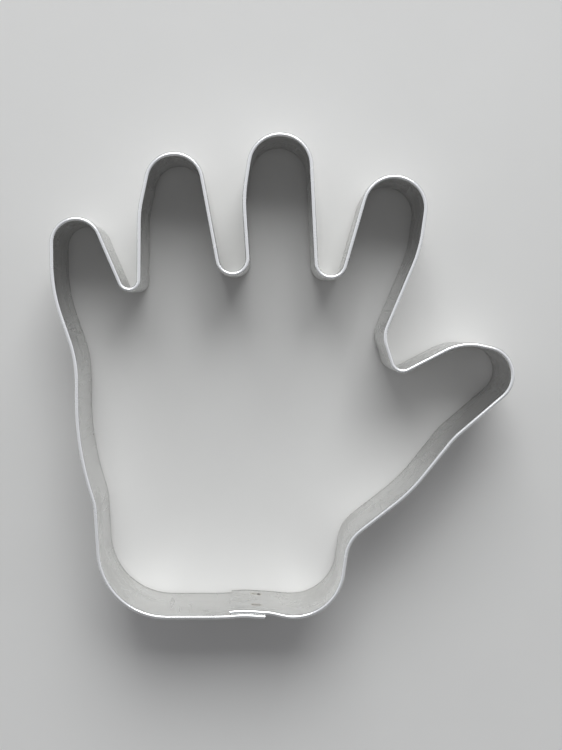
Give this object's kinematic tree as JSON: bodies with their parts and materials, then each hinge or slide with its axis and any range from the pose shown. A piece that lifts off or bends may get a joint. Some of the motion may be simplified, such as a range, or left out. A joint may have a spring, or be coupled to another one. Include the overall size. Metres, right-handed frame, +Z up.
{
  "type": "cookie cutter",
  "caption": "Hand-shaped dough cutter bent from a thin stainless strip, with a folded rim on top, a plain cutting edge below and a spot-welded lap at the wrist",
  "frame": {"origin": "middle of the bounding box on the plane of the cutting edge", "axes": "+Z up from the cutting edge to the folded rim, +Y from the wrist to the fingertips, +X to the thumb"},
  "size_m": [0.0862, 0.0904, 0.02],
  "materials": {
    "stainless_strip": "cold-rolled stainless strip with fine rolling lines, semi-bright",
    "weld_nugget": "resistance weld mark, darker and slightly heat-tinted"
  },
  "bodies": {
    "root": {"cutter_band": "stainless_strip", "spot_weld_lower": "weld_nugget", "spot_weld_upper": "weld_nugget"}
  },
  "joints": []
}
